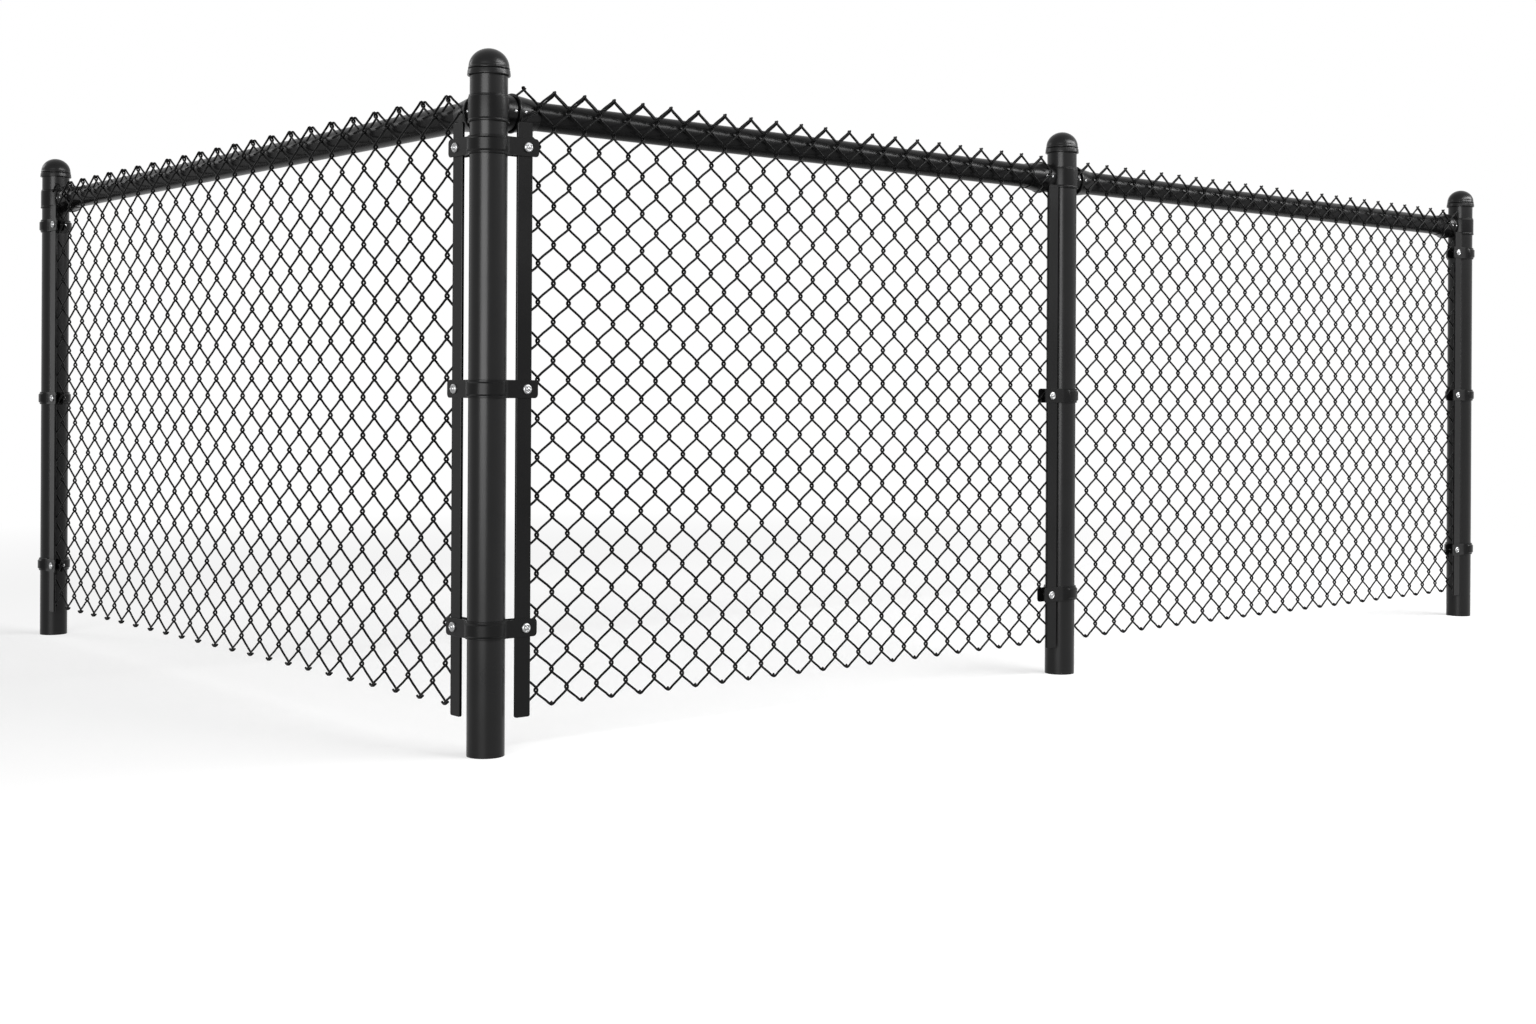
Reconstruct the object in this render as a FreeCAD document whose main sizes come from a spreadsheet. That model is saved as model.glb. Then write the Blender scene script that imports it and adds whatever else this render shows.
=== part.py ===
import FreeCAD, Part
import math
import os

# Chain link fence section that turns one corner: two bays in line and one bay at a right angle.
# Millimetres, +Z up. The origin is the centre of the corner post's foot, +X runs along the two
# bays in line and +Y along the side bay. The fabric hangs on the outer side, towards -X and -Y.

SIZES = {
    # Bays, from post axis to post axis
    "bay_left_length": 2295,
    "bay_middle_length": 1678,
    "bay_right_length": 1943,
    # Posts
    "post_diameter": 73.0,
    "post_wall": 3.0,
    "post_height": 1322,
    "fit_clearance": 0.2,
    # Post caps
    "cap_skirt_wall": 4.8,
    "cap_skirt_height": 17,
    "cap_dome_wall": 2.8,
    "cap_dome_height": 36,
    "cap_top_wall": 3,
    "cap_seat_depth": 21,
    # Top rails
    "rail_diameter": 57,
    "rail_wall": 2.4,
    "rail_drop": 84,
    # Cups that hold the rail ends
    "cup_gap": 1,
    "cup_flange_rim": 10.5,
    "cup_flange_thickness": 5,
    "cup_taper_rim": 7.2,
    "cup_taper_length": 42,
    "cup_length": 54,
    "cup_web": 9,
    "cup_wall": 1.8,
    # Brace bands that carry the cups
    "brace_band_height": 52,
    "brace_band_wall": 2.8,
    "brace_boss_diameter": 70,
    "brace_boss_start": 26,
    # Tension bars and the bands that hold them
    "bar_gap": 4.3,
    "bar_width": 34,
    "bar_thickness": 6,
    "bar_ground_gap": 70,
    "bar_rail_drop": 22,
    "band_height": 35,
    "band_ring_wall": 6.5,
    "ear_thickness": 2.5,
    "ear_overhang": 13,
    # Height of each tension band's middle, set by eye on each post
    "band_left_top": 1161,
    "band_left_middle": 672,
    "band_left_bottom": 200,
    "band_corner_top": 1168,
    "band_corner_middle": 702,
    "band_corner_bottom": 242,
    "band_line_middle": 694,
    "band_line_bottom": 202,
    "band_right_top": 1152,
    "band_right_middle": 702,
    "band_right_bottom": 214,
    # Fabric
    "fabric_offset": 21.4,
    "fabric_cup_gap": 0.4,
    "weave_depth": 13,
    "fabric_ground_gap": 76,
    "fabric_rise": 50,
    "wire_diameter": 4.2,
    "rows_side": 15,
    "rows_main": 16,
    "diamond_width_side": 95,
    "diamond_width_main": 73,
}

doc = FreeCAD.newDocument("chain_link_fence")
sheet = doc.addObject("Spreadsheet::Sheet", "Sizes")
for row, (alias, value) in enumerate(SIZES.items(), start=1):
    sheet.set(f"A{row}", alias)
    sheet.set(f"B{row}", str(value))
    sheet.setAlias(f"B{row}", alias)
doc.recompute()

# Formulas that several pieces share
POST_RADIUS = "Sizes.post_diameter / 2"
BORE_RADIUS = f"({POST_RADIUS} + Sizes.fit_clearance)"
BAND_RADIUS = f"({BORE_RADIUS} + Sizes.band_ring_wall)"
BRACE_RADIUS = f"({BORE_RADIUS} + Sizes.brace_band_wall)"
RAIL_RADIUS = "Sizes.rail_diameter / 2"
RAIL_LEVEL = "(Sizes.post_height - Sizes.rail_drop)"
CUP_BORE_RADIUS = f"({RAIL_RADIUS} + Sizes.fit_clearance)"
CUP_LIP_RADIUS = f"({CUP_BORE_RADIUS} + Sizes.cup_wall)"
CUP_FLANGE_RADIUS = f"({RAIL_RADIUS} + Sizes.cup_flange_rim)"
FABRIC_INNER = "(Sizes.fabric_offset - Sizes.wire_diameter / 2)"
# The rails stand far enough inside for their cups to clear the fabric
RAIL_INSET = f"({CUP_FLANGE_RADIUS} - {FABRIC_INNER} + Sizes.fabric_cup_gap)"
# Two cups at a corner clear each other
CUP_REACH = f"({RAIL_INSET} + {CUP_FLANGE_RADIUS} + Sizes.cup_gap)"
RAIL_END_REACH = f"({CUP_REACH} + Sizes.cup_web + Sizes.fit_clearance)"
BAR_REACH = f"({BAND_RADIUS} + Sizes.bar_gap)"
BAR_EDGE = f"({BAR_REACH} + Sizes.bar_width)"
BAR_TOP = f"({RAIL_LEVEL} - Sizes.bar_rail_drop)"
EAR_REACH = f"({BAR_EDGE} + Sizes.ear_overhang)"
# The bars press on the fabric's outer face, and the ears hold both, with room for the depth of the weave
BAR_REAR = "(Sizes.fabric_offset + Sizes.wire_diameter / 2)"
EAR_FRONT = f"({BAR_REAR} + Sizes.bar_thickness)"
EAR_REAR = f"({BAR_REAR} - Sizes.weave_depth)"

# Each post's place on the ground, and the ways its bays leave it
RIGHT_POST_X = "(Sizes.bay_middle_length + Sizes.bay_right_length)"
POSTS = {
    "left": {"place": ("0", "Sizes.bay_left_length"), "bays": ["south"]},
    "corner": {"place": ("0", "0"), "bays": ["east", "north"]},
    "line": {"place": ("Sizes.bay_middle_length", "0"), "bays": ["west", "east"]},
    "right": {"place": (RIGHT_POST_X, "0"), "bays": ["west"]},
}

# A fitting is drawn with x along its bay, y towards the inner side and z up, then turned to its bay
TURNS = {
    "east": FreeCAD.Rotation(),
    "west": FreeCAD.Rotation(FreeCAD.Vector(0, 1, 0), 180),
    "north": FreeCAD.Rotation(FreeCAD.Vector(1, 1, 0), 180),
    "south": FreeCAD.Rotation(FreeCAD.Vector(0, 0, 1), -90),
}
ALONG_X = FreeCAD.Rotation(FreeCAD.Vector(0, 1, 0), 90)
UPRIGHT = FreeCAD.Rotation()

sub_parts = []


def turned(offset, facing):
    """The formulas of a local offset after the turn to its bay."""
    x, y, z = offset
    return {
        "east": (x, y, z),
        "west": (f"-({x})", y, f"-({z})"),
        "north": (y, x, f"-({z})"),
        "south": (y, f"-({x})", z),
    }[facing]


def bind(item, sizes):
    """Ties an object's properties to the sheet."""
    for name, formula in sizes.items():
        item.setExpression(name, formula)
    return item


def place(item, rotation, position):
    """Sets a fixed rotation and a position that follows the sheet."""
    item.Placement = FreeCAD.Placement(FreeCAD.Vector(), rotation)
    for axis, formula in zip("xyz", position):
        item.setExpression(f"Placement.Base.{axis}", formula)
    return item


def cylinder(name, radius, height, position=("0", "0", "0"), rotation=UPRIGHT):
    item = bind(doc.addObject("Part::Cylinder", name), {"Radius": radius, "Height": height})
    return place(item, rotation, position)


def cone(name, base_radius, top_radius, height, position, rotation):
    sizes = {"Radius1": base_radius, "Radius2": top_radius, "Height": height}
    return place(bind(doc.addObject("Part::Cone", name), sizes), rotation, position)


def box(name, length, width, height, position, rotation=UPRIGHT):
    sizes = {"Length": length, "Width": width, "Height": height}
    return place(bind(doc.addObject("Part::Box", name), sizes), rotation, position)


def dome(name, height, radius, level):
    """The upper half of an ellipsoid that stands on the given level."""
    item = doc.addObject("Part::Ellipsoid", name)
    item.Angle1 = 0
    item.Angle2 = 90
    bind(item, {"Radius1": height, "Radius2": radius, "Radius3": radius})
    return place(item, UPRIGHT, ("0", "0", level))


def fuse(name, shapes):
    item = doc.addObject("Part::MultiFuse", name)
    item.Shapes = shapes
    item.Refine = True
    return item


def cut(name, base, tool):
    item = doc.addObject("Part::Cut", name)
    item.Base = base
    item.Tool = tool
    return item


def keep(item, label, rotation, position):
    """Names a finished sub-part and puts it in its place."""
    item.Label = label
    place(item, rotation, position)
    sub_parts.append(item)


def make_post(name, spot):
    tube = cylinder(f"tube_{name}", POST_RADIUS, "Sizes.post_height")
    hollow = cylinder(f"tube_hollow_{name}", f"{POST_RADIUS} - Sizes.post_wall", "Sizes.post_height")
    keep(cut(f"post_body_{name}", tube, hollow), f"post_{name}", UPRIGHT, (*spot, "0"))


def make_cap(name, spot):
    """A domed cap whose skirt slips over the post and whose shoulder rests on the post's rim."""
    skirt = cylinder(f"cap_skirt_{name}", f"{BORE_RADIUS} + Sizes.cap_skirt_wall", "Sizes.cap_skirt_height")
    top = dome(f"cap_dome_{name}", "Sizes.cap_dome_height", f"{BORE_RADIUS} + Sizes.cap_dome_wall",
               "Sizes.cap_skirt_height")
    socket = cylinder(f"cap_socket_{name}", BORE_RADIUS, "Sizes.cap_seat_depth")
    inner_height = ("Sizes.cap_skirt_height + Sizes.cap_dome_height"
                    " - Sizes.cap_top_wall - Sizes.cap_seat_depth")
    inner_radius = f"{POST_RADIUS} - Sizes.post_wall"
    hollow = dome(f"cap_hollow_{name}", inner_height, inner_radius, "Sizes.cap_seat_depth")
    shell = cut(f"cap_body_{name}", fuse(f"cap_outer_{name}", [skirt, top]),
                fuse(f"cap_inner_{name}", [socket, hollow]))
    keep(shell, f"cap_{name}", UPRIGHT, (*spot, "Sizes.post_height - Sizes.cap_seat_depth"))


def make_brace_band(name, spot, bays):
    """A wide ring with a broad round boss towards each rail."""
    low = "-Sizes.brace_band_height / 2"
    solids = [cylinder(f"brace_ring_{name}", BRACE_RADIUS, "Sizes.brace_band_height", ("0", "0", low))]
    for facing in bays:
        start = turned(("Sizes.brace_boss_start", RAIL_INSET, "0"), facing)
        solids.append(cylinder(f"brace_boss_{name}_{facing}", "Sizes.brace_boss_diameter / 2",
                               f"{CUP_REACH} - Sizes.brace_boss_start", start, TURNS[facing] * ALONG_X))
    bore = cylinder(f"brace_bore_{name}", BORE_RADIUS, "Sizes.brace_boss_diameter",
                    ("0", "0", "-Sizes.brace_boss_diameter / 2"))
    band = cut(f"brace_body_{name}", fuse(f"brace_outer_{name}", solids), bore)
    keep(band, f"brace_band_{name}", UPRIGHT, (*spot, RAIL_LEVEL))


def make_tension_band(name, spot, bays, level):
    """A stout ring with a front ear and a rear ear, with the bar and the fabric between, towards each bar."""
    low = "-Sizes.band_height / 2"
    solids = [cylinder(f"band_ring_{name}", BAND_RADIUS, "Sizes.band_height", ("0", "0", low))]
    for facing in bays:
        for side, edge in (("front", f"-({EAR_FRONT} + Sizes.ear_thickness)"), ("rear", f"-{EAR_REAR}")):
            corner = turned(("0", edge, low), facing)
            solids.append(box(f"ear_{side}_{name}_{facing}", EAR_REACH, "Sizes.ear_thickness",
                              "Sizes.band_height", corner, TURNS[facing]))
    bore = cylinder(f"band_bore_{name}", BORE_RADIUS, "Sizes.band_height", ("0", "0", low))
    band = cut(f"band_body_{name}", fuse(f"band_outer_{name}", solids), bore)
    keep(band, f"tension_band_{name}", UPRIGHT, (*spot, level))


def make_bar(label, spot, facing):
    """A flat bar behind the front ears of one post's bands."""
    length = f"({BAR_TOP} - Sizes.bar_ground_gap)"
    corner = turned((BAR_REACH, f"-{EAR_FRONT}", f"-{length} / 2"), facing)
    middle = f"({BAR_TOP} + Sizes.bar_ground_gap) / 2"
    position = (f"{spot[0]} + {corner[0]}", f"{spot[1]} + {corner[1]}", f"{middle} + {corner[2]}")
    bar = doc.addObject("Part::Box", f"{label}_body")
    bind(bar, {"Length": "Sizes.bar_width", "Width": "Sizes.bar_thickness", "Height": length})
    keep(bar, label, TURNS[facing], position)


def make_cup(label, spot, facing):
    """A flanged cup with a blind bore for the rail's end."""
    flange_end = f"{CUP_REACH} + Sizes.cup_flange_thickness"
    taper_radius = f"{RAIL_RADIUS} + Sizes.cup_taper_rim"
    solids = [
        cylinder(f"{label}_flange", CUP_FLANGE_RADIUS, "Sizes.cup_flange_thickness",
                 (CUP_REACH, "0", "0"), ALONG_X),
        cone(f"{label}_taper", taper_radius, CUP_LIP_RADIUS, "Sizes.cup_taper_length",
             (flange_end, "0", "0"), ALONG_X),
        cylinder(f"{label}_lip", CUP_LIP_RADIUS, "Sizes.cup_length", (CUP_REACH, "0", "0"), ALONG_X),
    ]
    bore = cylinder(f"{label}_bore", CUP_BORE_RADIUS, "Sizes.cup_length",
                    (f"{CUP_REACH} + Sizes.cup_web", "0", "0"), ALONG_X)
    shift = turned(("0", RAIL_INSET, "0"), facing)
    position = (f"{spot[0]} + {shift[0]}", f"{spot[1]} + {shift[1]}", RAIL_LEVEL)
    keep(cut(f"{label}_body", fuse(f"{label}_outer", solids), bore), label, TURNS[facing], position)


def make_rail(label, spot, facing, bay_length):
    length = f"{bay_length} - 2 * {RAIL_END_REACH}"
    start = (RAIL_END_REACH, "0", "0")
    tube = cylinder(f"{label}_tube", RAIL_RADIUS, length, start, ALONG_X)
    hollow = cylinder(f"{label}_hollow", f"{RAIL_RADIUS} - Sizes.rail_wall", length, start, ALONG_X)
    shift = turned(("0", RAIL_INSET, "0"), facing)
    position = (f"{spot[0]} + {shift[0]}", f"{spot[1]} + {shift[1]}", RAIL_LEVEL)
    keep(cut(f"{label}_body", tube, hollow), label, TURNS[facing], position)


def lattice(columns, diamond_width, rows, diamond_height, strut):
    """A flat lattice of diamonds that starts at x = 0 and z = 0, as thick as its struts are wide."""
    half_width = diamond_width / 2
    half_height = diamond_height / 2
    side_distance = half_width * half_height / math.hypot(half_width, half_height)
    open_share = 1 - strut / 2 / side_distance
    open_x = half_width * open_share
    open_z = half_height * open_share
    last_i = 2 * columns
    last_j = 2 * rows

    def point(i, j, dx=0, dz=0):
        return FreeCAD.Vector(i * half_width + dx, 0, j * half_height + dz)

    def ring(points):
        return Part.makePolygon(points + points[:1])

    # The rim runs round the half diamonds that are open along each edge
    rim = [point(0, 0)]
    for i in range(1, last_i, 2):
        rim += [point(i, 0, -open_x), point(i, 0, 0, open_z), point(i, 0, open_x)]
    rim.append(point(last_i, 0))
    for j in range(1, last_j, 2):
        rim += [point(last_i, j, 0, -open_z), point(last_i, j, -open_x), point(last_i, j, 0, open_z)]
    rim.append(point(last_i, last_j))
    for i in range(last_i - 1, 0, -2):
        rim += [point(i, last_j, open_x), point(i, last_j, 0, -open_z), point(i, last_j, -open_x)]
    rim.append(point(0, last_j))
    for j in range(last_j - 1, 0, -2):
        rim += [point(0, j, 0, open_z), point(0, j, open_x), point(0, j, 0, -open_z)]

    openings = []
    for i in range(1, last_i):
        for j in range(1, last_j):
            if (i + j) % 2:
                openings.append(ring([point(i, j, -open_x), point(i, j, 0, open_z),
                                      point(i, j, open_x), point(i, j, 0, -open_z)]))
    face = Part.Face([ring(rim)] + openings)
    return face.extrude(FreeCAD.Vector(0, strut, 0))


def make_fabric(bay, spot, facing, bay_length, start_reach, end_reach, target_width, rows, half_names):
    """One bay's fabric, as two lattices that meet at a column of joints."""
    span = bay_length - start_reach - end_reach
    columns = max(2, round(span / target_width))
    width = span / columns
    bottom = sheet.fabric_ground_gap
    top = sheet.post_height - sheet.rail_drop + sheet.fabric_rise
    first = start_reach
    for half_name, count in zip(half_names, (columns // 2, columns - columns // 2)):
        item = doc.addObject("Part::Feature", f"fabric_{bay}_{half_name}_body")
        item.Label = f"fabric_{bay}_{half_name}"
        item.Shape = lattice(count, width, round(rows), (top - bottom) / rows, sheet.wire_diameter)
        corner = FreeCAD.Vector(first, -sheet.fabric_offset - sheet.wire_diameter / 2, (bottom - top) / 2)
        middle = FreeCAD.Vector(*spot, (bottom + top) / 2)
        item.Placement = FreeCAD.Placement(middle + TURNS[facing].multVec(corner), TURNS[facing])
        sub_parts.append(item)
        first += count * width


for post_name, post in POSTS.items():
    make_post(post_name, post["place"])
    make_cap(post_name, post["place"])
    make_brace_band(post_name, post["place"], post["bays"])

# Bars hold the fabric at both ends of a bay, but the right bay starts against the line post
BAR_BAYS = {"left": ["south"], "corner": ["east", "north"], "line": ["west"], "right": ["west"]}
for post_name, facings in BAR_BAYS.items():
    for level_name in ("top", "middle", "bottom"):
        level = f"band_{post_name}_{level_name}"
        if level in SIZES:
            band_label = f"{post_name}_{level_name}"
            make_tension_band(band_label, POSTS[post_name]["place"], facings, f"Sizes.{level}")
    for bar_facing in facings:
        bar_label = f"tension_bar_{post_name}" + (f"_{bar_facing}" if len(facings) > 1 else "")
        make_bar(bar_label, POSTS[post_name]["place"], bar_facing)

RUNS = {
    "left": {"posts": ("corner", "left"), "ways": ("north", "south"), "length": "Sizes.bay_left_length"},
    "middle": {"posts": ("corner", "line"), "ways": ("east", "west"), "length": "Sizes.bay_middle_length"},
    "right": {"posts": ("line", "right"), "ways": ("east", "west"), "length": "Sizes.bay_right_length"},
}
for bay_name, run in RUNS.items():
    for post_name, way in zip(run["posts"], run["ways"]):
        make_cup(f"rail_cup_{bay_name}_at_{post_name}", POSTS[post_name]["place"], way)
    make_rail(f"top_rail_{bay_name}", POSTS[run["posts"][0]]["place"], run["ways"][0], run["length"])

bore_radius = sheet.post_diameter / 2 + sheet.fit_clearance
band_radius = bore_radius + sheet.band_ring_wall
bar_reach = band_radius + sheet.bar_gap
fabric_inner_face = sheet.fabric_offset - sheet.wire_diameter / 2
post_edge = math.sqrt(band_radius ** 2 - fabric_inner_face ** 2) + sheet.fit_clearance
make_fabric("left", (0, 0), "north", sheet.bay_left_length, bar_reach, bar_reach,
            sheet.diamond_width_side, sheet.rows_side, ("corner_half", "end_half"))
make_fabric("middle", (0, 0), "east", sheet.bay_middle_length, bar_reach, bar_reach,
            sheet.diamond_width_main, sheet.rows_main, ("corner_half", "line_half"))
make_fabric("right", (sheet.bay_middle_length, 0), "east", sheet.bay_right_length, post_edge, bar_reach,
            sheet.diamond_width_main, sheet.rows_main, ("line_half", "end_half"))

doc.recompute()

for item in doc.Objects:
    if "Invalid" in item.State or "Error" in item.State:
        raise RuntimeError(f"{item.Label} failed: {item.State}")
for item in sub_parts:
    if item.Shape.isNull() or not item.Shape.isValid() or len(item.Shape.Solids) != 1:
        raise RuntimeError(f"{item.Label} is not one valid solid")

os.makedirs("parts", exist_ok=True)
for item in sub_parts:
    item.Shape.exportStep(f"parts/{item.Label}.step")
print(len(sub_parts), "sub-parts written")
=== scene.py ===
"""Looks of the chain link fence panel: woven wire, fittings, bolts, coatings and a white studio."""

from math import asin, cos, degrees, hypot, pi, radians, sin, sqrt

import bmesh
import bpy
import numpy as np
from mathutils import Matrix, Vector


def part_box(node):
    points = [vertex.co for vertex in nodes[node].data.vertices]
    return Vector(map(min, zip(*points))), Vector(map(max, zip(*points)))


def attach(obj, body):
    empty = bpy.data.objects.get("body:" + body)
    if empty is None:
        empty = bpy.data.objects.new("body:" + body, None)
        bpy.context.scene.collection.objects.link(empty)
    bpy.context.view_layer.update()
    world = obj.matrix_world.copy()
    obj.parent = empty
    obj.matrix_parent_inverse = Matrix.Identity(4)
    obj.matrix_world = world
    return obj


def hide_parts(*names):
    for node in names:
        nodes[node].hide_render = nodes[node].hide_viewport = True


MM = 0.001
UP = Vector((0, 0, 1))
EAST = Vector((1, 0, 0))
NORTH = Vector((0, 1, 0))

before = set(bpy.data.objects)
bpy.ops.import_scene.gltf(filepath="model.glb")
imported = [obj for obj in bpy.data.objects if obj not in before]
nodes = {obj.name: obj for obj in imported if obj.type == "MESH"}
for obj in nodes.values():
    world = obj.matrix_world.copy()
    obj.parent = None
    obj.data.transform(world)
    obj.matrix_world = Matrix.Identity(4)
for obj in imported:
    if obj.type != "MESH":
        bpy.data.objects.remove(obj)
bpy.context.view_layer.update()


# Places and main sizes, read from the solids

def middle(node):
    low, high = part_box(node)
    return (low + high) / 2


def reach(node):
    low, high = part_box(node)
    return high - low


POST_NAMES = ("left", "corner", "line", "right")
POST_AXIS = {name: Vector((middle(f"post_{name}").x, middle(f"post_{name}").y, 0)) for name in POST_NAMES}
POST_RADIUS = reach("post_corner").x / 2
CAP_RADIUS = reach("cap_corner").x / 2
CAP_HEIGHT = reach("cap_corner").z
CAP_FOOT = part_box("cap_corner")[0].z
RAIL_RADIUS = reach("top_rail_middle").z / 2
RAIL_LEVEL = middle("top_rail_middle").z
RAIL_INSET = middle("top_rail_middle").y
CUP_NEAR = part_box("rail_cup_middle_at_corner")[0].x
CUP_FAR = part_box("rail_cup_middle_at_corner")[1].x
CUP_RADIUS = reach("rail_cup_middle_at_corner").z / 2
BOSS_RADIUS = reach("brace_band_corner").z / 2
SLEEVE_RADIUS = -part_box("brace_band_corner")[0].x
BAR_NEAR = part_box("tension_bar_corner_east")[0].x
BAR_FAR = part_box("tension_bar_corner_east")[1].x
BAR_FRONT = -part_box("tension_bar_corner_east")[0].y
BAR_REAR = -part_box("tension_bar_corner_east")[1].y
BAR_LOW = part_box("tension_bar_corner_east")[0].z
BAR_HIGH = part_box("tension_bar_corner_east")[1].z
BAND_HEIGHT = reach("tension_band_corner_top").z
EAR_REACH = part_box("tension_band_corner_top")[1].x
FABRIC_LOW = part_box("fabric_middle_corner_half")[0].z
FABRIC_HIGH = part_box("fabric_middle_corner_half")[1].z

# Woven wire: its thickness, its bends and how far they hook past each other, and its folded ends
WIRE_RADIUS = 2.4 * MM
WIRE_SIDES = 8
BEND_STEPS = 5
BEND_STRETCH = 1.15
LEG_STEPS = 4
LEG_CURVE = 0.2
TURN = 4.1 * MM
HOOK = 2.8 * MM
TIP_HOOK = 1.0 * MM
TIP_MARGIN = 0.7 * TURN + WIRE_RADIUS
TOP_TAIL = 32 * MM
TOP_DROP = 9 * MM
BOTTOM_TAIL = 3 * MM
BOTTOM_DROP = 1 * MM
WEAVE_PLANE = BAR_REAR - TURN - WIRE_RADIUS
WEAVE_REAR = WEAVE_PLANE - TURN - WIRE_RADIUS

# Each bay as seen from outside, from left to right: its posts, how far from them the weave starts and
# ends, how many wires and rows of diamonds it has, how far its tips stand above the solid (below it if
# negative), whether its first wire ends in a tip at the very edge, and the solids that its halves replace
BAYS = (
    {
        "posts": ("left", "corner"),
        "leads": (60 * MM, 73 * MM),
        "wires": 45,
        "rows": 15,
        "crest": -3 * MM,
        "tip_at_edge": True,
        "halves": ("fabric_left_end_half", "fabric_left_corner_half"),
    },
    {
        "posts": ("corner", "line"),
        "leads": (67 * MM, 63 * MM),
        "wires": 43,
        "rows": 16,
        "crest": 6 * MM,
        "tip_at_edge": True,
        "halves": ("fabric_middle_corner_half", "fabric_middle_line_half"),
    },
    {
        "posts": ("line", "right"),
        "leads": (43 * MM, 61 * MM),
        "wires": 49,
        "rows": 16,
        "crest": 4 * MM,
        "tip_at_edge": False,
        "halves": ("fabric_right_line_half", "fabric_right_end_half"),
    },
)

# Bands, bars, bolts, sleeves, cups and caps
STRAP_THICK = 2.5 * MM
STRAP_BEVEL = 0.6 * MM
STRAP_GAP = 0.9 * MM
STRAP_RADIUS = POST_RADIUS + STRAP_GAP + STRAP_THICK / 2
STRAP_BEND = 5 * MM
FRONT_ROOT_LEAD = 2 * MM
REAR_ROOT_LEAD = 1 * MM
CROWN_RISE = 3.3 * MM
CROWN_FLAT = 10.5 * MM
CROWN_FOOT = 13.5 * MM
CROWN_RAMP_STEPS = 3
ARC_STEP_DEGREES = 6
ARC_TRIM_DEGREES = 6
RING_SLACK = 0.2 * MM
EAR_CORNER = 7 * MM
EAR_CORNER_SHARES = (0.12, 0.35, 0.65, 1.0)
EAR_LEAST_RUN = 3 * EAR_CORNER
EAR_FRONT = BAR_FRONT + STRAP_THICK / 2
EAR_REAR = WEAVE_REAR - STRAP_THICK / 2
BAND_LEVELS = ("top", "middle", "bottom")
BAR_CORNER = 4 * MM
BAR_BEVEL = 0.8 * MM
BOLT_REACH = 69.5 * MM
BOLT_SIDES = 32
SHANK_SIDES = 20
NUT_SIDES = 6
POST_FIT = 0.2 * MM
SLEEVE_HEIGHT = 52 * MM
BOSS_START = 26 * MM
BOSS_GAP = 1.4 * MM
BOSS_SCREW = CUP_NEAR - 8 * MM
CUP_SCREW = CUP_NEAR + 14 * MM
CUP_SCREW_DIP = 3.3 * MM
LATHE_SIDES = 64
CAP_SIDES = 96
CORNER_STEPS = 5

# The ways in which bars and rails leave each post, each rail's two ends, and the outer side of each way
BAR_WAYS = {"left": ("south",), "corner": ("east", "north"), "line": ("west",), "right": ("west",)}
RAIL_WAYS = {"left": ("south",), "corner": ("east", "north"), "line": ("west", "east"), "right": ("west",)}
RAIL_ENDS = {
    "left": (("corner", "north"), ("left", "south")),
    "middle": (("corner", "east"), ("line", "west")),
    "right": (("line", "east"), ("right", "west")),
}
ALONG = {"east": EAST, "west": -EAST, "north": NORTH, "south": -NORTH}
OUTWARD = {"east": -NORTH, "west": -NORTH, "north": -EAST, "south": -EAST}


# Mesh making

class Shape:
    """Collects points and faces, then becomes one piece."""

    def __init__(self):
        self.points = []
        self.faces = []

    def add(self, points, faces):
        first = len(self.points)
        self.points.extend(tuple(p) for p in points)
        self.faces.extend(tuple(first + i for i in face) for face in faces)

    def loft(self, rings, looped=False):
        """Joins equal closed rings of points with quads, and fills the two ends unless it loops round."""
        count = len(rings[0])
        points = [p for ring in rings for p in ring]
        faces = []
        for k in range(len(rings) if looped else len(rings) - 1):
            here = k * count
            there = (k + 1) % len(rings) * count
            for i in range(count):
                j = (i + 1) % count
                faces.append((here + i, here + j, there + j, there + i))
        if not looped:
            last = (len(rings) - 1) * count
            faces.append(tuple(reversed(range(count))))
            faces.append(tuple(range(last, last + count)))
        self.add(points, faces)

    def lathe(self, profile, place, axis, sides=LATHE_SIDES, looped=False):
        """Turns a profile of (radius, height) round an axis through place."""
        axis = Vector(axis).normalized()
        across = axis.orthogonal().normalized()
        beside = axis.cross(across)
        rings = []
        for radius, height in profile:
            ring = []
            for i in range(sides):
                turn = 2 * pi * i / sides
                ring.append(place + axis * height + (across * cos(turn) + beside * sin(turn)) * radius)
            rings.append(ring)
        self.loft(rings, looped)

    def plate(self, corner, wide, tall, normal, width, height, thickness, radius, bevel):
        """A flat bar with rounded corners and eased edges, its back on the plane through corner."""
        rings = []
        for depth, inset in ((0, bevel), (bevel, 0), (thickness - bevel, 0), (thickness, bevel)):
            ring = []
            for a, b, first in ((width, height, 0), (0, height, 90), (0, 0, 180), (width, 0, 270)):
                centre_a = radius if a == 0 else width - radius
                centre_b = radius if b == 0 else height - radius
                for step in range(CORNER_STEPS + 1):
                    turn = radians(first + 90 * step / CORNER_STEPS)
                    spot_a = centre_a + (radius - inset) * cos(turn)
                    spot_b = centre_b + (radius - inset) * sin(turn)
                    ring.append(corner + wide * spot_a + tall * spot_b + normal * depth)
            rings.append(ring)
        self.loft(rings)

    def piece(self, name, material, replaced=(), sharp=40):
        """Makes the object, with edges sharper than the given angle left crisp."""
        mesh = bpy.data.meshes.new(name)
        mesh.from_pydata(self.points, [], self.faces)
        mesh.validate()
        work = bmesh.new()
        work.from_mesh(mesh)
        bmesh.ops.recalc_face_normals(work, faces=work.faces)
        work.to_mesh(mesh)
        work.free()
        mesh.shade_smooth()
        mesh.set_sharp_from_angle(angle=radians(sharp))
        mesh.materials.append(material)
        item = bpy.data.objects.new(name, mesh)
        bpy.context.scene.collection.objects.link(item)
        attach(item, "root")
        if replaced:
            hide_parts(*replaced)


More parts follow.
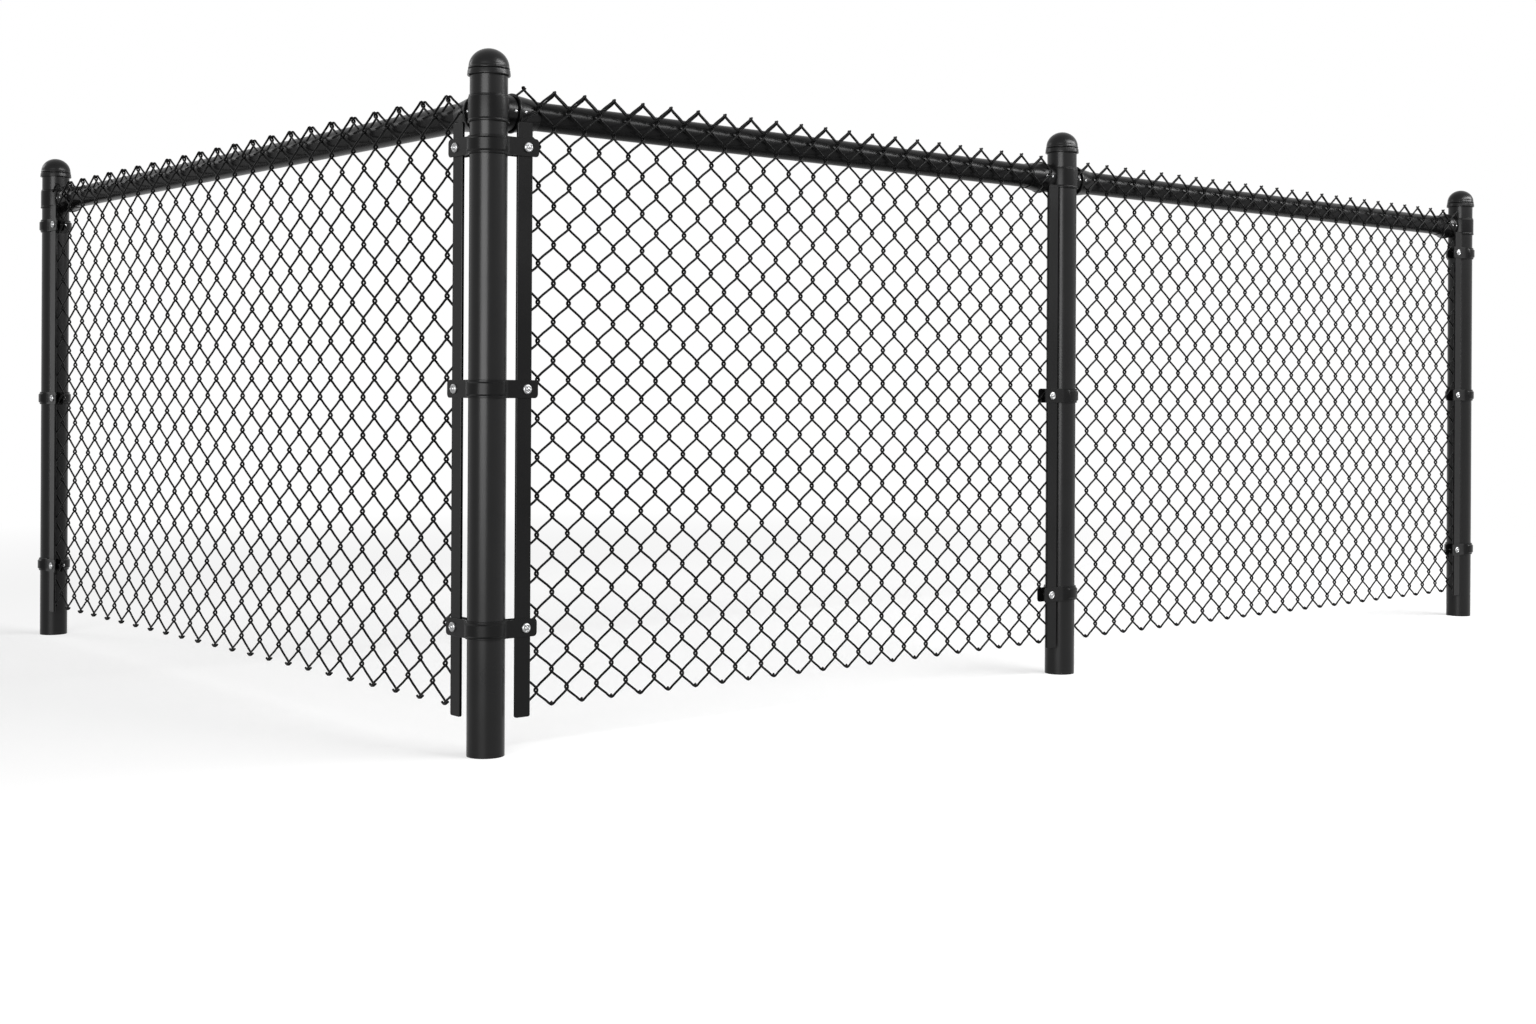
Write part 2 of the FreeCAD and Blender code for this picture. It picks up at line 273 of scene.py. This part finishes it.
def rounded(corners, steps=4):
    """A polyline whose corners (a, b, radius) are eased with short arcs."""
    line = []
    largest_share = 0.49
    for k, (a, b, radius) in enumerate(corners):
        here = Vector((a, b))
        if radius == 0 or k in (0, len(corners) - 1):
            line.append((a, b))
            continue
        back = Vector(corners[k - 1][:2]) - here
        ahead = Vector(corners[k + 1][:2]) - here
        ease = min(radius, back.length * largest_share, ahead.length * largest_share)
        first = here + back.normalized() * ease
        last = here + ahead.normalized() * ease
        for i in range(steps + 1):
            t = i / steps
            spot = first * (1 - t) ** 2 + here * 2 * t * (1 - t) + last * t ** 2
            line.append((spot.x, spot.y))
    return line


def in_mm(corners):
    return [tuple(value * MM for value in corner) for corner in corners]


# Materials

BLACK = (0.0032, 0.0032, 0.0033)
WORN = (0.010, 0.010, 0.0102)
CLOUD_SCALE = 9
CLOUD_DETAIL = 6
CLOUD_SPAN = (0.3, 0.75)
TONE_SPAN = (0.8, 1.25)
RUB_SPAN = (0.58, 0.72)
GLOSS_SPREAD = (-0.05, 0.07)
PEBBLE_DETAIL = 3
PEBBLE_DEPTH = 0.3 * MM
ZINC_DARK = (0.21, 0.215, 0.22, 1)
ZINC_PALE = (0.40, 0.40, 0.40, 1)
ZINC_GRAIN = 260
ZINC_DETAIL = 4
ZINC_GLOSS = (0.24, 0.42)
ZINC_BUMP = 0.12
ZINC_DEPTH = 0.1 * MM


def coating(name, roughness, shine, grain, bump):
    """Black coating over metal: mottled tone, uneven gloss, fine pebbling and paler worn edges."""
    material = bpy.data.materials.new(name)
    material.use_nodes = True
    tree = material.node_tree
    shader = tree.nodes["Principled BSDF"]
    where = tree.nodes.new("ShaderNodeTexCoord")
    cloud = tree.nodes.new("ShaderNodeTexNoise")
    cloud.inputs["Scale"].default_value = CLOUD_SCALE
    cloud.inputs["Detail"].default_value = CLOUD_DETAIL
    tone = tree.nodes.new("ShaderNodeValToRGB")
    for stop, position, share in zip(tone.color_ramp.elements, CLOUD_SPAN, TONE_SPAN):
        stop.position = position
        stop.color = (*[c * share for c in BLACK], 1)
    edge = tree.nodes.new("ShaderNodeNewGeometry")
    rub = tree.nodes.new("ShaderNodeValToRGB")
    for stop, position in zip(rub.color_ramp.elements, RUB_SPAN):
        stop.position = position
    worn = tree.nodes.new("ShaderNodeMix")
    worn.data_type = "RGBA"
    worn.inputs["B"].default_value = (*WORN, 1)
    gloss = tree.nodes.new("ShaderNodeMapRange")
    gloss.inputs["To Min"].default_value = roughness + GLOSS_SPREAD[0]
    gloss.inputs["To Max"].default_value = roughness + GLOSS_SPREAD[1]
    pebble = tree.nodes.new("ShaderNodeTexNoise")
    pebble.inputs["Scale"].default_value = grain
    pebble.inputs["Detail"].default_value = PEBBLE_DETAIL
    relief = tree.nodes.new("ShaderNodeBump")
    relief.inputs["Strength"].default_value = bump
    relief.inputs["Distance"].default_value = PEBBLE_DEPTH
    link = tree.links.new
    link(where.outputs["Object"], cloud.inputs["Vector"])
    link(where.outputs["Object"], pebble.inputs["Vector"])
    link(cloud.outputs["Fac"], tone.inputs["Fac"])
    link(edge.outputs["Pointiness"], rub.inputs["Fac"])
    link(rub.outputs["Color"], worn.inputs["Factor"])
    link(tone.outputs["Color"], worn.inputs["A"])
    link(worn.outputs["Result"], shader.inputs["Base Color"])
    link(cloud.outputs["Fac"], gloss.inputs["Value"])
    link(gloss.outputs["Result"], shader.inputs["Roughness"])
    link(pebble.outputs["Fac"], relief.inputs["Height"])
    link(relief.outputs["Normal"], shader.inputs["Normal"])
    shader.inputs["Specular IOR Level"].default_value = shine
    return material


def zinc(name):
    """Bright zinc plating: pale metal with a fine mottled gloss."""
    material = bpy.data.materials.new(name)
    material.use_nodes = True
    tree = material.node_tree
    shader = tree.nodes["Principled BSDF"]
    where = tree.nodes.new("ShaderNodeTexCoord")
    cloud = tree.nodes.new("ShaderNodeTexNoise")
    cloud.inputs["Scale"].default_value = ZINC_GRAIN
    cloud.inputs["Detail"].default_value = ZINC_DETAIL
    tone = tree.nodes.new("ShaderNodeValToRGB")
    tone.color_ramp.elements[0].color = ZINC_DARK
    tone.color_ramp.elements[1].color = ZINC_PALE
    gloss = tree.nodes.new("ShaderNodeMapRange")
    gloss.inputs["To Min"].default_value = ZINC_GLOSS[0]
    gloss.inputs["To Max"].default_value = ZINC_GLOSS[1]
    relief = tree.nodes.new("ShaderNodeBump")
    relief.inputs["Strength"].default_value = ZINC_BUMP
    relief.inputs["Distance"].default_value = ZINC_DEPTH
    link = tree.links.new
    link(where.outputs["Object"], cloud.inputs["Vector"])
    link(cloud.outputs["Fac"], tone.inputs["Fac"])
    link(tone.outputs["Color"], shader.inputs["Base Color"])
    link(cloud.outputs["Fac"], gloss.inputs["Value"])
    link(gloss.outputs["Result"], shader.inputs["Roughness"])
    link(cloud.outputs["Fac"], relief.inputs["Height"])
    link(relief.outputs["Normal"], shader.inputs["Normal"])
    shader.inputs["Metallic"].default_value = 1
    return material


post_coating = coating("post_coating", roughness=0.28, shine=0.165, grain=420, bump=0.04)
rail_coating = coating("rail_coating", roughness=0.26, shine=0.050, grain=420, bump=0.03)
cap_coating = coating("cap_coating", roughness=0.29, shine=0.18, grain=160, bump=0.012)
fitting_coating = coating("fitting_coating", roughness=0.29, shine=0.12, grain=380, bump=0.05)
fabric_coating = coating("fabric_wire", roughness=0.36, shine=0.06, grain=700, bump=0.06)
bolt_zinc = zinc("bolt_zinc")


def finish_node(node, material):
    """Gives a solid that stays in view its coating."""
    mesh = nodes[node].data
    mesh.materials.clear()
    mesh.materials.append(material)


# Weaving

def knuckle(root, heading, side, tail, drop, lone):
    """A wire's end, hooked over at the edge of the fabric, from its tail to where its leg starts.

    The tail lies inside the leg, shifted along the height by drop.
    """
    root_u, root_z = root
    run_u, run_z = heading
    tail_u = -run_u if lone else run_u
    line = [(root_u + tail_u * tail, -side * TURN, root_z + run_z * tail + drop)]
    for angle in np.linspace(-90, 90, BEND_STEPS + 1):
        lead = TURN * cos(radians(angle))
        swing = sin(radians(angle))
        shift = drop * (1 - swing) / 2
        line.append((root_u - run_u * lead, side * TURN * swing, root_z - run_z * lead + shift))
    return line


def picket(strip, rise, rows, starts_left, lone):
    """One zigzag wire as (across, depth, height), its left bends at 0 and its right bends at strip.

    The ends of a lone wire, at the edge of a bay, have no neighbour and fold over to the free side.
    """
    leg = strip + 2 * HOOK - 2 * TURN
    bend_rise = BEND_STRETCH * rise * pi * TURN / (leg + pi * TURN)
    length = hypot(leg, rise - bend_rise)
    slope_u = leg / length
    slope_z = (rise - bend_rise) / length
    turns = 2 * rows

    def end(at_left, height, sense, tail, drop):
        """The hooked end at the bottom (sense 1) or at the top (sense -1)."""
        root = TURN * slope_u - TIP_HOOK if at_left else strip + TIP_HOOK - TURN * slope_u
        side = sense if at_left else -sense
        heading = (slope_u if at_left else -slope_u, sense * slope_z)
        return knuckle((root, height), heading, side, tail, 0 if lone else sense * drop, lone)

    def leg_between(start, finish):
        """Points inside a leg, which sets off steeply from its bends and leans most in its middle."""
        inside = []
        for t in np.arange(1, LEG_STEPS) / LEG_STEPS:
            across = (1 - LEG_CURVE) * t + LEG_CURVE * (1 - cos(pi * t)) / 2
            u = start[0] + (finish[0] - start[0]) * across
            inside.append((u, start[1], start[2] + (finish[2] - start[2]) * t))
        return inside

    line = end(starts_left, bend_rise / 2, 1, BOTTOM_TAIL, BOTTOM_DROP)
    for j in range(1, turns):
        at_left = (j % 2 == 0) == starts_left
        bend = []
        for angle in np.linspace(-90, 90, BEND_STEPS + 1):
            out = TURN * cos(radians(angle))
            depth = TURN * sin(radians(angle))
            climb = j * rise + bend_rise * angle / 180
            if at_left:
                bend.append((TURN - HOOK - out, depth, climb))
            else:
                bend.append((strip + HOOK - TURN + out, -depth, climb))
        line += leg_between(line[-1], bend[0]) + bend
    top = end(starts_left, turns * rise - bend_rise / 2, -1, TOP_TAIL, TOP_DROP)
    top.reverse()
    line += leg_between(line[-1], top[0]) + top
    return np.array(line)


def tube(line, radius, sides):
    """Rings of points round a line, carried along it without twist."""
    heading = np.gradient(line, axis=0)
    heading /= np.linalg.norm(heading, axis=1)[:, None]
    across = np.cross(heading[0], (0, 0, 1))
    turns = 2 * pi * np.arange(sides) / sides
    rings = []
    for spot, way in zip(line, heading):
        across = across - way * across.dot(way)
        across /= np.linalg.norm(across)
        beside = np.cross(way, across)
        rings.append(spot + radius * (np.outer(np.cos(turns), across) + np.outer(np.sin(turns), beside)))
    return np.array(rings)


def weave(bay):
    """The two halves of one bay's fabric, wire by wire."""
    start, finish = (POST_AXIS[name] for name in bay["posts"])
    along = (finish - start).normalized()
    outward = along.cross(UP)
    wires = bay["wires"]
    strip = ((finish - start).length - sum(bay["leads"])) / wires
    rise = (FABRIC_HIGH + bay["crest"] - FABRIC_LOW - 2 * TIP_MARGIN) / (2 * bay["rows"])
    basis = np.array([along, outward, UP])
    level = FABRIC_LOW + TIP_MARGIN
    corner = np.array(start + along * bay["leads"][0] + outward * WEAVE_PLANE + UP * level)
    patterns = {}
    for starts_left in (True, False):
        for lone in (True, False):
            line = picket(strip, rise, bay["rows"], starts_left, lone)
            patterns[starts_left, lone] = tube(line, WIRE_RADIUS, WIRE_SIDES)
    for half, node in enumerate(bay["halves"]):
        shape = Shape()
        for k in range(half * wires // 2, (half + 1) * wires // 2):
            starts_left = (k % 2 == 0) == bay["tip_at_edge"]
            lone = k == (0 if starts_left else wires - 1)
            rings = patterns[starts_left, lone] + np.array((k * strip, 0, 0))
            shape.loft((rings @ basis + corner).tolist())
        shape.piece(f"{node}_weave", fabric_coating, (node,), sharp=80)


# Fittings

def make_cap(name):
    """A domed cap with a flared skirt, a shadow groove and a thin bead under the dome."""
    groove = 12.4 * MM
    dome_foot = 16.6 * MM
    dome_radius = CAP_RADIUS - 2.5 * MM
    dome_steps = 18
    steps_to_top = 18.3
    skirt = rounded([
        (POST_RADIUS + POST_FIT, 9 * MM, 0),
        (POST_RADIUS + POST_FIT, 4 * MM, 0.4 * MM),
        (POST_RADIUS + 2.2 * MM, 0.6 * MM, 0.6 * MM),
        (CAP_RADIUS - 0.6 * MM, 0, 0.4 * MM),
        (CAP_RADIUS, 1.2 * MM, 0.8 * MM),
        (CAP_RADIUS - 0.9 * MM, groove - 1.6 * MM, 1 * MM),
        (dome_radius - 1.2 * MM, groove, 0.6 * MM),
        (dome_radius + 1.0 * MM, groove + 0.6 * MM, 1.2 * MM),
        (dome_radius + 0.9 * MM, dome_foot - 1.2 * MM, 2 * MM),
        (dome_radius, dome_foot, 0),
    ], steps=6)
    dome = []
    for step in range(1, dome_steps + 1):
        lift = radians(90 * step / steps_to_top)
        dome.append((dome_radius * cos(lift), dome_foot + (CAP_HEIGHT - dome_foot) * sin(lift)))
    shape = Shape()
    shape.lathe(skirt + dome, POST_AXIS[name] + UP * CAP_FOOT, UP, sides=CAP_SIDES)
    shape.piece(f"cap_{name}_shell", cap_coating, (f"cap_{name}",), sharp=50)


def make_sleeve(name):
    """The brace band: a wide sleeve with a rolled lower lip, and a broad boss towards each rail."""
    inner = POST_RADIUS + POST_FIT
    half = SLEEVE_HEIGHT / 2
    profile = rounded([
        (inner, 0, 0),
        (inner, 4 * MM - half, 0.4 * MM),
        (inner + 1.6 * MM, 2 * MM - half, 0.4 * MM),
        (inner + 1.8 * MM, -half, 0.2 * MM),
        (SLEEVE_RADIUS + 0.6 * MM, -half, 1 * MM),
        (SLEEVE_RADIUS + 0.6 * MM, 4 * MM - half, 1 * MM),
        (SLEEVE_RADIUS - 0.5 * MM, 5.4 * MM - half, 0.6 * MM),
        (SLEEVE_RADIUS, 7 * MM - half, 1 * MM),
        (SLEEVE_RADIUS, half - 4 * MM, 1 * MM),
        (SLEEVE_RADIUS - 1.0 * MM, half - 3 * MM, 0.5 * MM),
        (SLEEVE_RADIUS - 1.0 * MM, half, 0.8 * MM),
        (inner, half, 0.4 * MM),
        (inner, 1 * MM, 0),
    ])
    shape = Shape()
    centre = POST_AXIS[name] + UP * RAIL_LEVEL
    shape.lathe(profile, centre, UP, looped=True)
    boss_end = CUP_NEAR - BOSS_GAP
    boss_eye = 1 * MM
    boss = rounded([
        (boss_eye, BOSS_START, 0),
        (BOSS_RADIUS, BOSS_START, 3 * MM),
        (BOSS_RADIUS, boss_end, 2.5 * MM),
        (boss_eye, boss_end, 0),
    ])
    for way in RAIL_WAYS[name]:
        shape.lathe(boss, centre - OUTWARD[way] * RAIL_INSET, ALONG[way])
    shape.piece(f"brace_band_{name}_sleeve", fitting_coating, (f"brace_band_{name}",))


def make_cup(node, post, way):
    """A rail cup: a round flange towards the post, and a smooth taper that ends in a thin lip on the rail."""
    bore = RAIL_RADIUS + 0.1 * MM
    flange = CUP_NEAR + 5 * MM
    mouth = 20 * MM
    profile = rounded([
        (mouth, CUP_NEAR + 8 * MM, 0),
        (mouth, CUP_NEAR, 1 * MM),
        (CUP_RADIUS, CUP_NEAR, 1.6 * MM),
        (CUP_RADIUS, flange, 1.6 * MM),
        (CUP_RADIUS - 2.4 * MM, flange + 1.5 * MM, 1.5 * MM),
        (CUP_RADIUS - 5.2 * MM, flange + 24 * MM, 10 * MM),
        (bore + 2.0 * MM, CUP_FAR - 4 * MM, 2 * MM),
        (bore + 1.8 * MM, CUP_FAR, 0.8 * MM),
        (bore, CUP_FAR, 0.2 * MM),
        (bore, CUP_NEAR + 9 * MM, 0),
    ])
    shape = Shape()
    centre = POST_AXIS[post] - OUTWARD[way] * RAIL_INSET + UP * RAIL_LEVEL
    shape.lathe(profile, centre, ALONG[way], looped=True)
    shape.piece(f"{node}_casting", fitting_coating, (node,))


def ring_arc(first, last):
    """Points of the strap's ring between two angles in degrees."""
    steps = max(2, round(abs(last - first) / ARC_STEP_DEGREES))
    return [
        (STRAP_RADIUS * cos(radians(a)), STRAP_RADIUS * sin(radians(a)), 0)
        for a in np.linspace(first, last, steps + 1)
    ]


def strap(shape, route, level):
    """A flat strap on edge along a plan route that starts and ends in rounded ears."""
    line = []
    for (a, b), (c, d) in zip(route, route[1:]):
        line.append(Vector((a, b)))
        run = Vector((c - a, d - b))
        if run.length > EAR_LEAST_RUN:
            share = EAR_CORNER / run.length
            for t in EAR_CORNER_SHARES:
                line.append(Vector((a, b)) + run * share * t)
            for t in reversed(EAR_CORNER_SHARES):
                line.append(Vector((c, d)) - run * share * t)
    line.append(Vector(route[-1]))
    half_way = len(line) // 2
    swing = line[half_way].cross(line[half_way + 1])
    on_ring = [k for k, spot in enumerate(line) if spot.length < STRAP_RADIUS + RING_SLACK]
    rings = []
    for k, spot in enumerate(line):
        ahead = line[min(k + 1, len(line) - 1)] - line[max(k - 1, 0)]
        side = Vector((ahead.y, -ahead.x)).normalized() * (1 if swing > 0 else -1)
        from_tip = min((spot - line[0]).length, (spot - line[-1]).length, EAR_CORNER)
        dip = EAR_CORNER - sqrt(EAR_CORNER ** 2 - (EAR_CORNER - from_tip) ** 2)
        tall = BAND_HEIGHT / 2 - dip
        ring_steps = max(0, min(k - on_ring[0], on_ring[-1] - k))
        crown = CROWN_RISE * min(1, ring_steps / CROWN_RAMP_STEPS)
        out = STRAP_THICK / 2
        section = (
            (-out, STRAP_BEVEL - tall),
            (-out, tall - STRAP_BEVEL),
            (STRAP_BEVEL - out, tall),
            (out - STRAP_BEVEL, tall),
            (out, tall - STRAP_BEVEL),
            (out, CROWN_FOOT - dip),
            (out + crown, CROWN_FLAT - dip),
            (out + crown, dip - CROWN_FLAT),
            (out, dip - CROWN_FOOT),
            (out, STRAP_BEVEL - tall),
            (out - STRAP_BEVEL, -tall),
            (STRAP_BEVEL - out, -tall),
        )
        rings.append([Vector((*(spot + side * s), 0)) + UP * (level + h) for s, h in section])
    shape.loft(rings)


def make_band(name, level_name):
    """A tension band: one strap round an end post, or an outer and an inner strap at the corner."""
    node = f"tension_band_{name}_{level_name}"
    level = middle(node).z
    front_angle = degrees(asin(EAR_FRONT / STRAP_RADIUS))
    rear_angle = degrees(asin(EAR_REAR / STRAP_RADIUS))
    front_root = sqrt(STRAP_RADIUS ** 2 - EAR_FRONT ** 2) + FRONT_ROOT_LEAD
    rear_root = sqrt(STRAP_RADIUS ** 2 - EAR_REAR ** 2) + REAR_ROOT_LEAD
    front_start = front_angle + ARC_TRIM_DEGREES
    rear_start = rear_angle - ARC_TRIM_DEGREES
    shape = Shape()
    if len(BAR_WAYS[name]) == 1:
        plan = [(EAR_REACH, EAR_FRONT, 0), (front_root, EAR_FRONT, STRAP_BEND)]
        plan += ring_arc(front_start, 360 + rear_start)
        plan += [(rear_root, EAR_REAR, STRAP_BEND), (EAR_REACH, EAR_REAR, 0)]
        plans = [plan]
        along, outward = ALONG[BAR_WAYS[name][0]], OUTWARD[BAR_WAYS[name][0]]
    else:
        along, outward = EAST, -NORTH
        outer = [(EAR_REACH, EAR_FRONT, 0), (front_root, EAR_FRONT, STRAP_BEND)]
        outer += ring_arc(front_start, 270 - front_start)
        outer += [(-EAR_FRONT, -front_root, STRAP_BEND), (-EAR_FRONT, -EAR_REACH, 0)]
        inner = [(EAR_REACH, EAR_REAR, 0), (rear_root, EAR_REAR, STRAP_BEND)]
        inner += ring_arc(rear_start, -90 - rear_start)
        inner += [(-EAR_REAR, -rear_root, STRAP_BEND), (-EAR_REAR, -EAR_REACH, 0)]
        plans = [outer, inner]
    for plan in plans:
        route = []
        for a, b in rounded(plan):
            spot = along * a + outward * b
            route.append((spot.x, spot.y))
        ring = Shape()
        strap(ring, route, level)
        shape.add([POST_AXIS[name] + Vector(p) for p in ring.points], ring.faces)
    shape.piece(f"{node}_strap", fitting_coating, (node,))


def make_bar(node, post, way):
    """A flat tension bar with eased corners."""
    corner = POST_AXIS[post] + ALONG[way] * BAR_NEAR + OUTWARD[way] * BAR_REAR + UP * BAR_LOW
    shape = Shape()
    shape.plate(corner, ALONG[way], UP, OUTWARD[way], BAR_FAR - BAR_NEAR, BAR_HIGH - BAR_LOW,
                BAR_FRONT - BAR_REAR, BAR_CORNER, BAR_BEVEL)
    shape.piece(f"{node}_flat", fitting_coating, (node,))


def add_bolt(shape, place, outward, grip):
    """A round-headed bolt with a ring groove round its crown, a washer and a hexagon nut at its far end."""
    head = rounded(in_mm([
        (9.9, -0.2, 0),
        (9.9, 1.4, 0.6),
        (8.9, 3.4, 1.6),
        (6.4, 4.6, 1.2),
        (5.4, 3.4, 0.6),
        (4.5, 3.4, 0.6),
        (3.6, 5.2, 1.2),
        (1.6, 6.0, 1.0),
        (0.2, 6.1, 0),
    ]))
    shape.lathe(head, place, outward, sides=BOLT_SIDES)
    rear = place - outward * grip
    shape.lathe(in_mm([(4.0, 0), (4.0, 4.0)]), rear, outward, sides=SHANK_SIDES)
    washer = rounded(in_mm([(4.0, 0, 0), (10.5, 0, 0.4), (10.5, -1.6, 0.5), (4.0, -1.6, 0)]))
    shape.lathe(washer, rear, outward, sides=BOLT_SIDES)
    nut = rounded(in_mm([
        (3.0, -1.6, 0),
        (7.6, -1.6, 0.3),
        (7.6, -7.2, 0.9),
        (5.8, -8.2, 0.3),
        (3.0, -8.2, 0),
    ]))
    shape.lathe(nut, rear, outward, sides=NUT_SIDES)
    end = rounded(in_mm([(3.9, -8, 0), (3.9, -12.4, 0.8), (2.8, -13.2, 0.3), (0.2, -13.2, 0)]))
    shape.lathe(end, rear, outward, sides=SHANK_SIDES)


def make_bolts(name):
    """The bolts through the ears of one post's bands, and the small screws beside its rails."""
    bolts = Shape()
    grip = BAR_FRONT + STRAP_THICK - (WEAVE_REAR - STRAP_THICK)
    for level_name in BAND_LEVELS:
        node = f"tension_band_{name}_{level_name}"
        if node not in nodes:
            continue
        for way in BAR_WAYS[name]:
            out = OUTWARD[way] * (BAR_FRONT + STRAP_THICK)
            place = POST_AXIS[name] + ALONG[way] * BOLT_REACH + out + UP * middle(node).z
            add_bolt(bolts, place, OUTWARD[way], grip)
    screw = rounded(in_mm([(3.0, -2, 0), (3.0, 0.8, 0.4), (2.1, 2.0, 0.8), (0.2, 2.3, 0)]))
    for way in RAIL_WAYS[name]:
        for along, radius in ((BOSS_SCREW, BOSS_RADIUS), (CUP_SCREW, CUP_RADIUS - CUP_SCREW_DIP)):
            out = OUTWARD[way] * (radius - RAIL_INSET)
            place = POST_AXIS[name] + ALONG[way] * along + out + UP * RAIL_LEVEL
            bolts.lathe(screw, place, OUTWARD[way], sides=SHANK_SIDES)
    bolts.piece(f"bolts_{name}", bolt_zinc)


for bay in BAYS:
    weave(bay)
for name in POST_NAMES:
    finish_node(f"post_{name}", post_coating)
    make_cap(name)
    make_sleeve(name)
    make_bolts(name)
    for level_name in BAND_LEVELS:
        if f"tension_band_{name}_{level_name}" in nodes:
            make_band(name, level_name)
    for way in BAR_WAYS[name]:
        suffix = f"_{way}" if len(BAR_WAYS[name]) > 1 else ""
        make_bar(f"tension_bar_{name}{suffix}", name, way)
for bay_name, ends in RAIL_ENDS.items():
    finish_node(f"top_rail_{bay_name}", rail_coating)
    for post, way in ends:
        make_cup(f"rail_cup_{bay_name}_at_{post}", post, way)


# Studio

PHOTO_WIDTH = 1536
PHOTO_HEIGHT = 1024
FOCAL_PIXELS = 1853
HORIZON_FROM_TOP = 393.0
SENSOR = 36
CAMERA_PLACE = (-1.909, -3.040, 0.697)
CAMERA_YAW = 40.74
CAMERA_ROLL = 0.3
CLIP_END = 200
MIDDLE_OF_OBJECT = Vector((1.2, 0.6, 0))
FLOOR_HALF = 60
FLOOR_PAINT = (0.4, 0.4, 0.4, 1)
FLOOR_GLOW = 0.62
FLOOR_FADE = (3, 6)
SKY_LIGHT = 0.25
SKY_SEEN = 1.0

lens = bpy.data.cameras.new("photo_camera")
lens.sensor_width = SENSOR
lens.lens = FOCAL_PIXELS / PHOTO_WIDTH * SENSOR
lens.shift_y = (HORIZON_FROM_TOP - PHOTO_HEIGHT / 2) / PHOTO_WIDTH
lens.clip_end = CLIP_END
camera = bpy.data.objects.new("photo_camera", lens)
camera.location = CAMERA_PLACE
camera.rotation_euler = (radians(90), radians(-CAMERA_ROLL), radians(-CAMERA_YAW))
bpy.context.scene.collection.objects.link(camera)
bpy.context.scene.camera = camera


def seen_ray(tree):
    """1 for rays that show the backdrop: straight from the camera, mirrored or let through."""
    path = tree.nodes.new("ShaderNodeLightPath")
    total = path.outputs["Is Camera Ray"]
    for ray in ("Is Glossy Ray", "Is Transmission Ray"):
        larger = tree.nodes.new("ShaderNodeMath")
        larger.operation = "MAXIMUM"
        tree.links.new(total, larger.inputs[0])
        tree.links.new(path.outputs[ray], larger.inputs[1])
        total = larger.outputs[0]
    return total


def white_floor():
    """A wide pale floor that reads as white and keeps a faint shadow near the object."""
    half = FLOOR_HALF
    corners = [(-half, -half, 0), (half, -half, 0), (half, half, 0), (-half, half, 0)]
    mesh = bpy.data.meshes.new("floor")
    mesh.from_pydata(corners, [], [(0, 1, 2, 3)])
    material = bpy.data.materials.new("floor_white")
    material.use_nodes = True
    tree = material.node_tree
    tree.nodes.remove(tree.nodes["Principled BSDF"])
    link = tree.links.new
    seen = seen_ray(tree)
    paint = tree.nodes.new("ShaderNodeBsdfDiffuse")
    paint.inputs["Color"].default_value = FLOOR_PAINT
    glow = tree.nodes.new("ShaderNodeEmission")
    level = tree.nodes.new("ShaderNodeMath")
    level.operation = "MULTIPLY"
    level.inputs[1].default_value = FLOOR_GLOW
    near = tree.nodes.new("ShaderNodeAddShader")
    far = tree.nodes.new("ShaderNodeEmission")
    where = tree.nodes.new("ShaderNodeNewGeometry")
    distance = tree.nodes.new("ShaderNodeVectorMath")
    distance.operation = "DISTANCE"
    distance.inputs[1].default_value = MIDDLE_OF_OBJECT
    fade = tree.nodes.new("ShaderNodeMapRange")
    fade.inputs["From Min"].default_value = FLOOR_FADE[0]
    fade.inputs["From Max"].default_value = FLOOR_FADE[1]
    both = tree.nodes.new("ShaderNodeMixShader")
    link(seen, level.inputs[0])
    link(level.outputs[0], glow.inputs["Strength"])
    link(paint.outputs[0], near.inputs[0])
    link(glow.outputs[0], near.inputs[1])
    link(seen, far.inputs["Strength"])
    link(where.outputs["Position"], distance.inputs[0])
    link(distance.outputs["Value"], fade.inputs["Value"])
    link(fade.outputs["Result"], both.inputs["Fac"])
    link(near.outputs[0], both.inputs[1])
    link(far.outputs[0], both.inputs[2])
    link(both.outputs[0], tree.nodes["Material Output"].inputs["Surface"])
    mesh.materials.append(material)
    floor = bpy.data.objects.new("floor", mesh)
    bpy.context.scene.collection.objects.link(floor)


def white_world():
    """White where it is seen, softer where it lights."""
    world = bpy.data.worlds.new("studio")
    bpy.context.scene.world = world
    world.use_nodes = True
    tree = world.node_tree
    sky = tree.nodes["Background"]
    sky.inputs["Color"].default_value = (1, 1, 1, 1)
    level = tree.nodes.new("ShaderNodeMapRange")
    level.inputs["To Min"].default_value = SKY_LIGHT
    level.inputs["To Max"].default_value = SKY_SEEN
    tree.links.new(seen_ray(tree), level.inputs["Value"])
    tree.links.new(level.outputs["Result"], sky.inputs["Strength"])


def softbox(name, place, target, width, height, power):
    """A rectangular lamp that faces its target."""
    lamp = bpy.data.lights.new(name, "AREA")
    lamp.shape = "RECTANGLE"
    lamp.size = width
    lamp.size_y = height
    lamp.energy = power
    item = bpy.data.objects.new(name, lamp)
    item.location = place
    item.rotation_euler = (Vector(target) - Vector(place)).to_track_quat("-Z", "Y").to_euler()
    bpy.context.scene.collection.objects.link(item)


white_floor()
white_world()
softbox("key", (-5.8, -3.95, 1.52), (0.4, 0.3, 1.52), width=5.0, height=3.0, power=620)
softbox("right_rails", (5.0, -3.4, 3.6), (5.0, 0.0, 1.3), width=8.0, height=1.0, power=600)
softbox("left_rail", (-2.8, 9.5, 4.2), (0.0, 9.5, 1.24), width=7.0, height=1.6, power=150)

bpy.context.scene.view_settings.view_transform = "Standard"
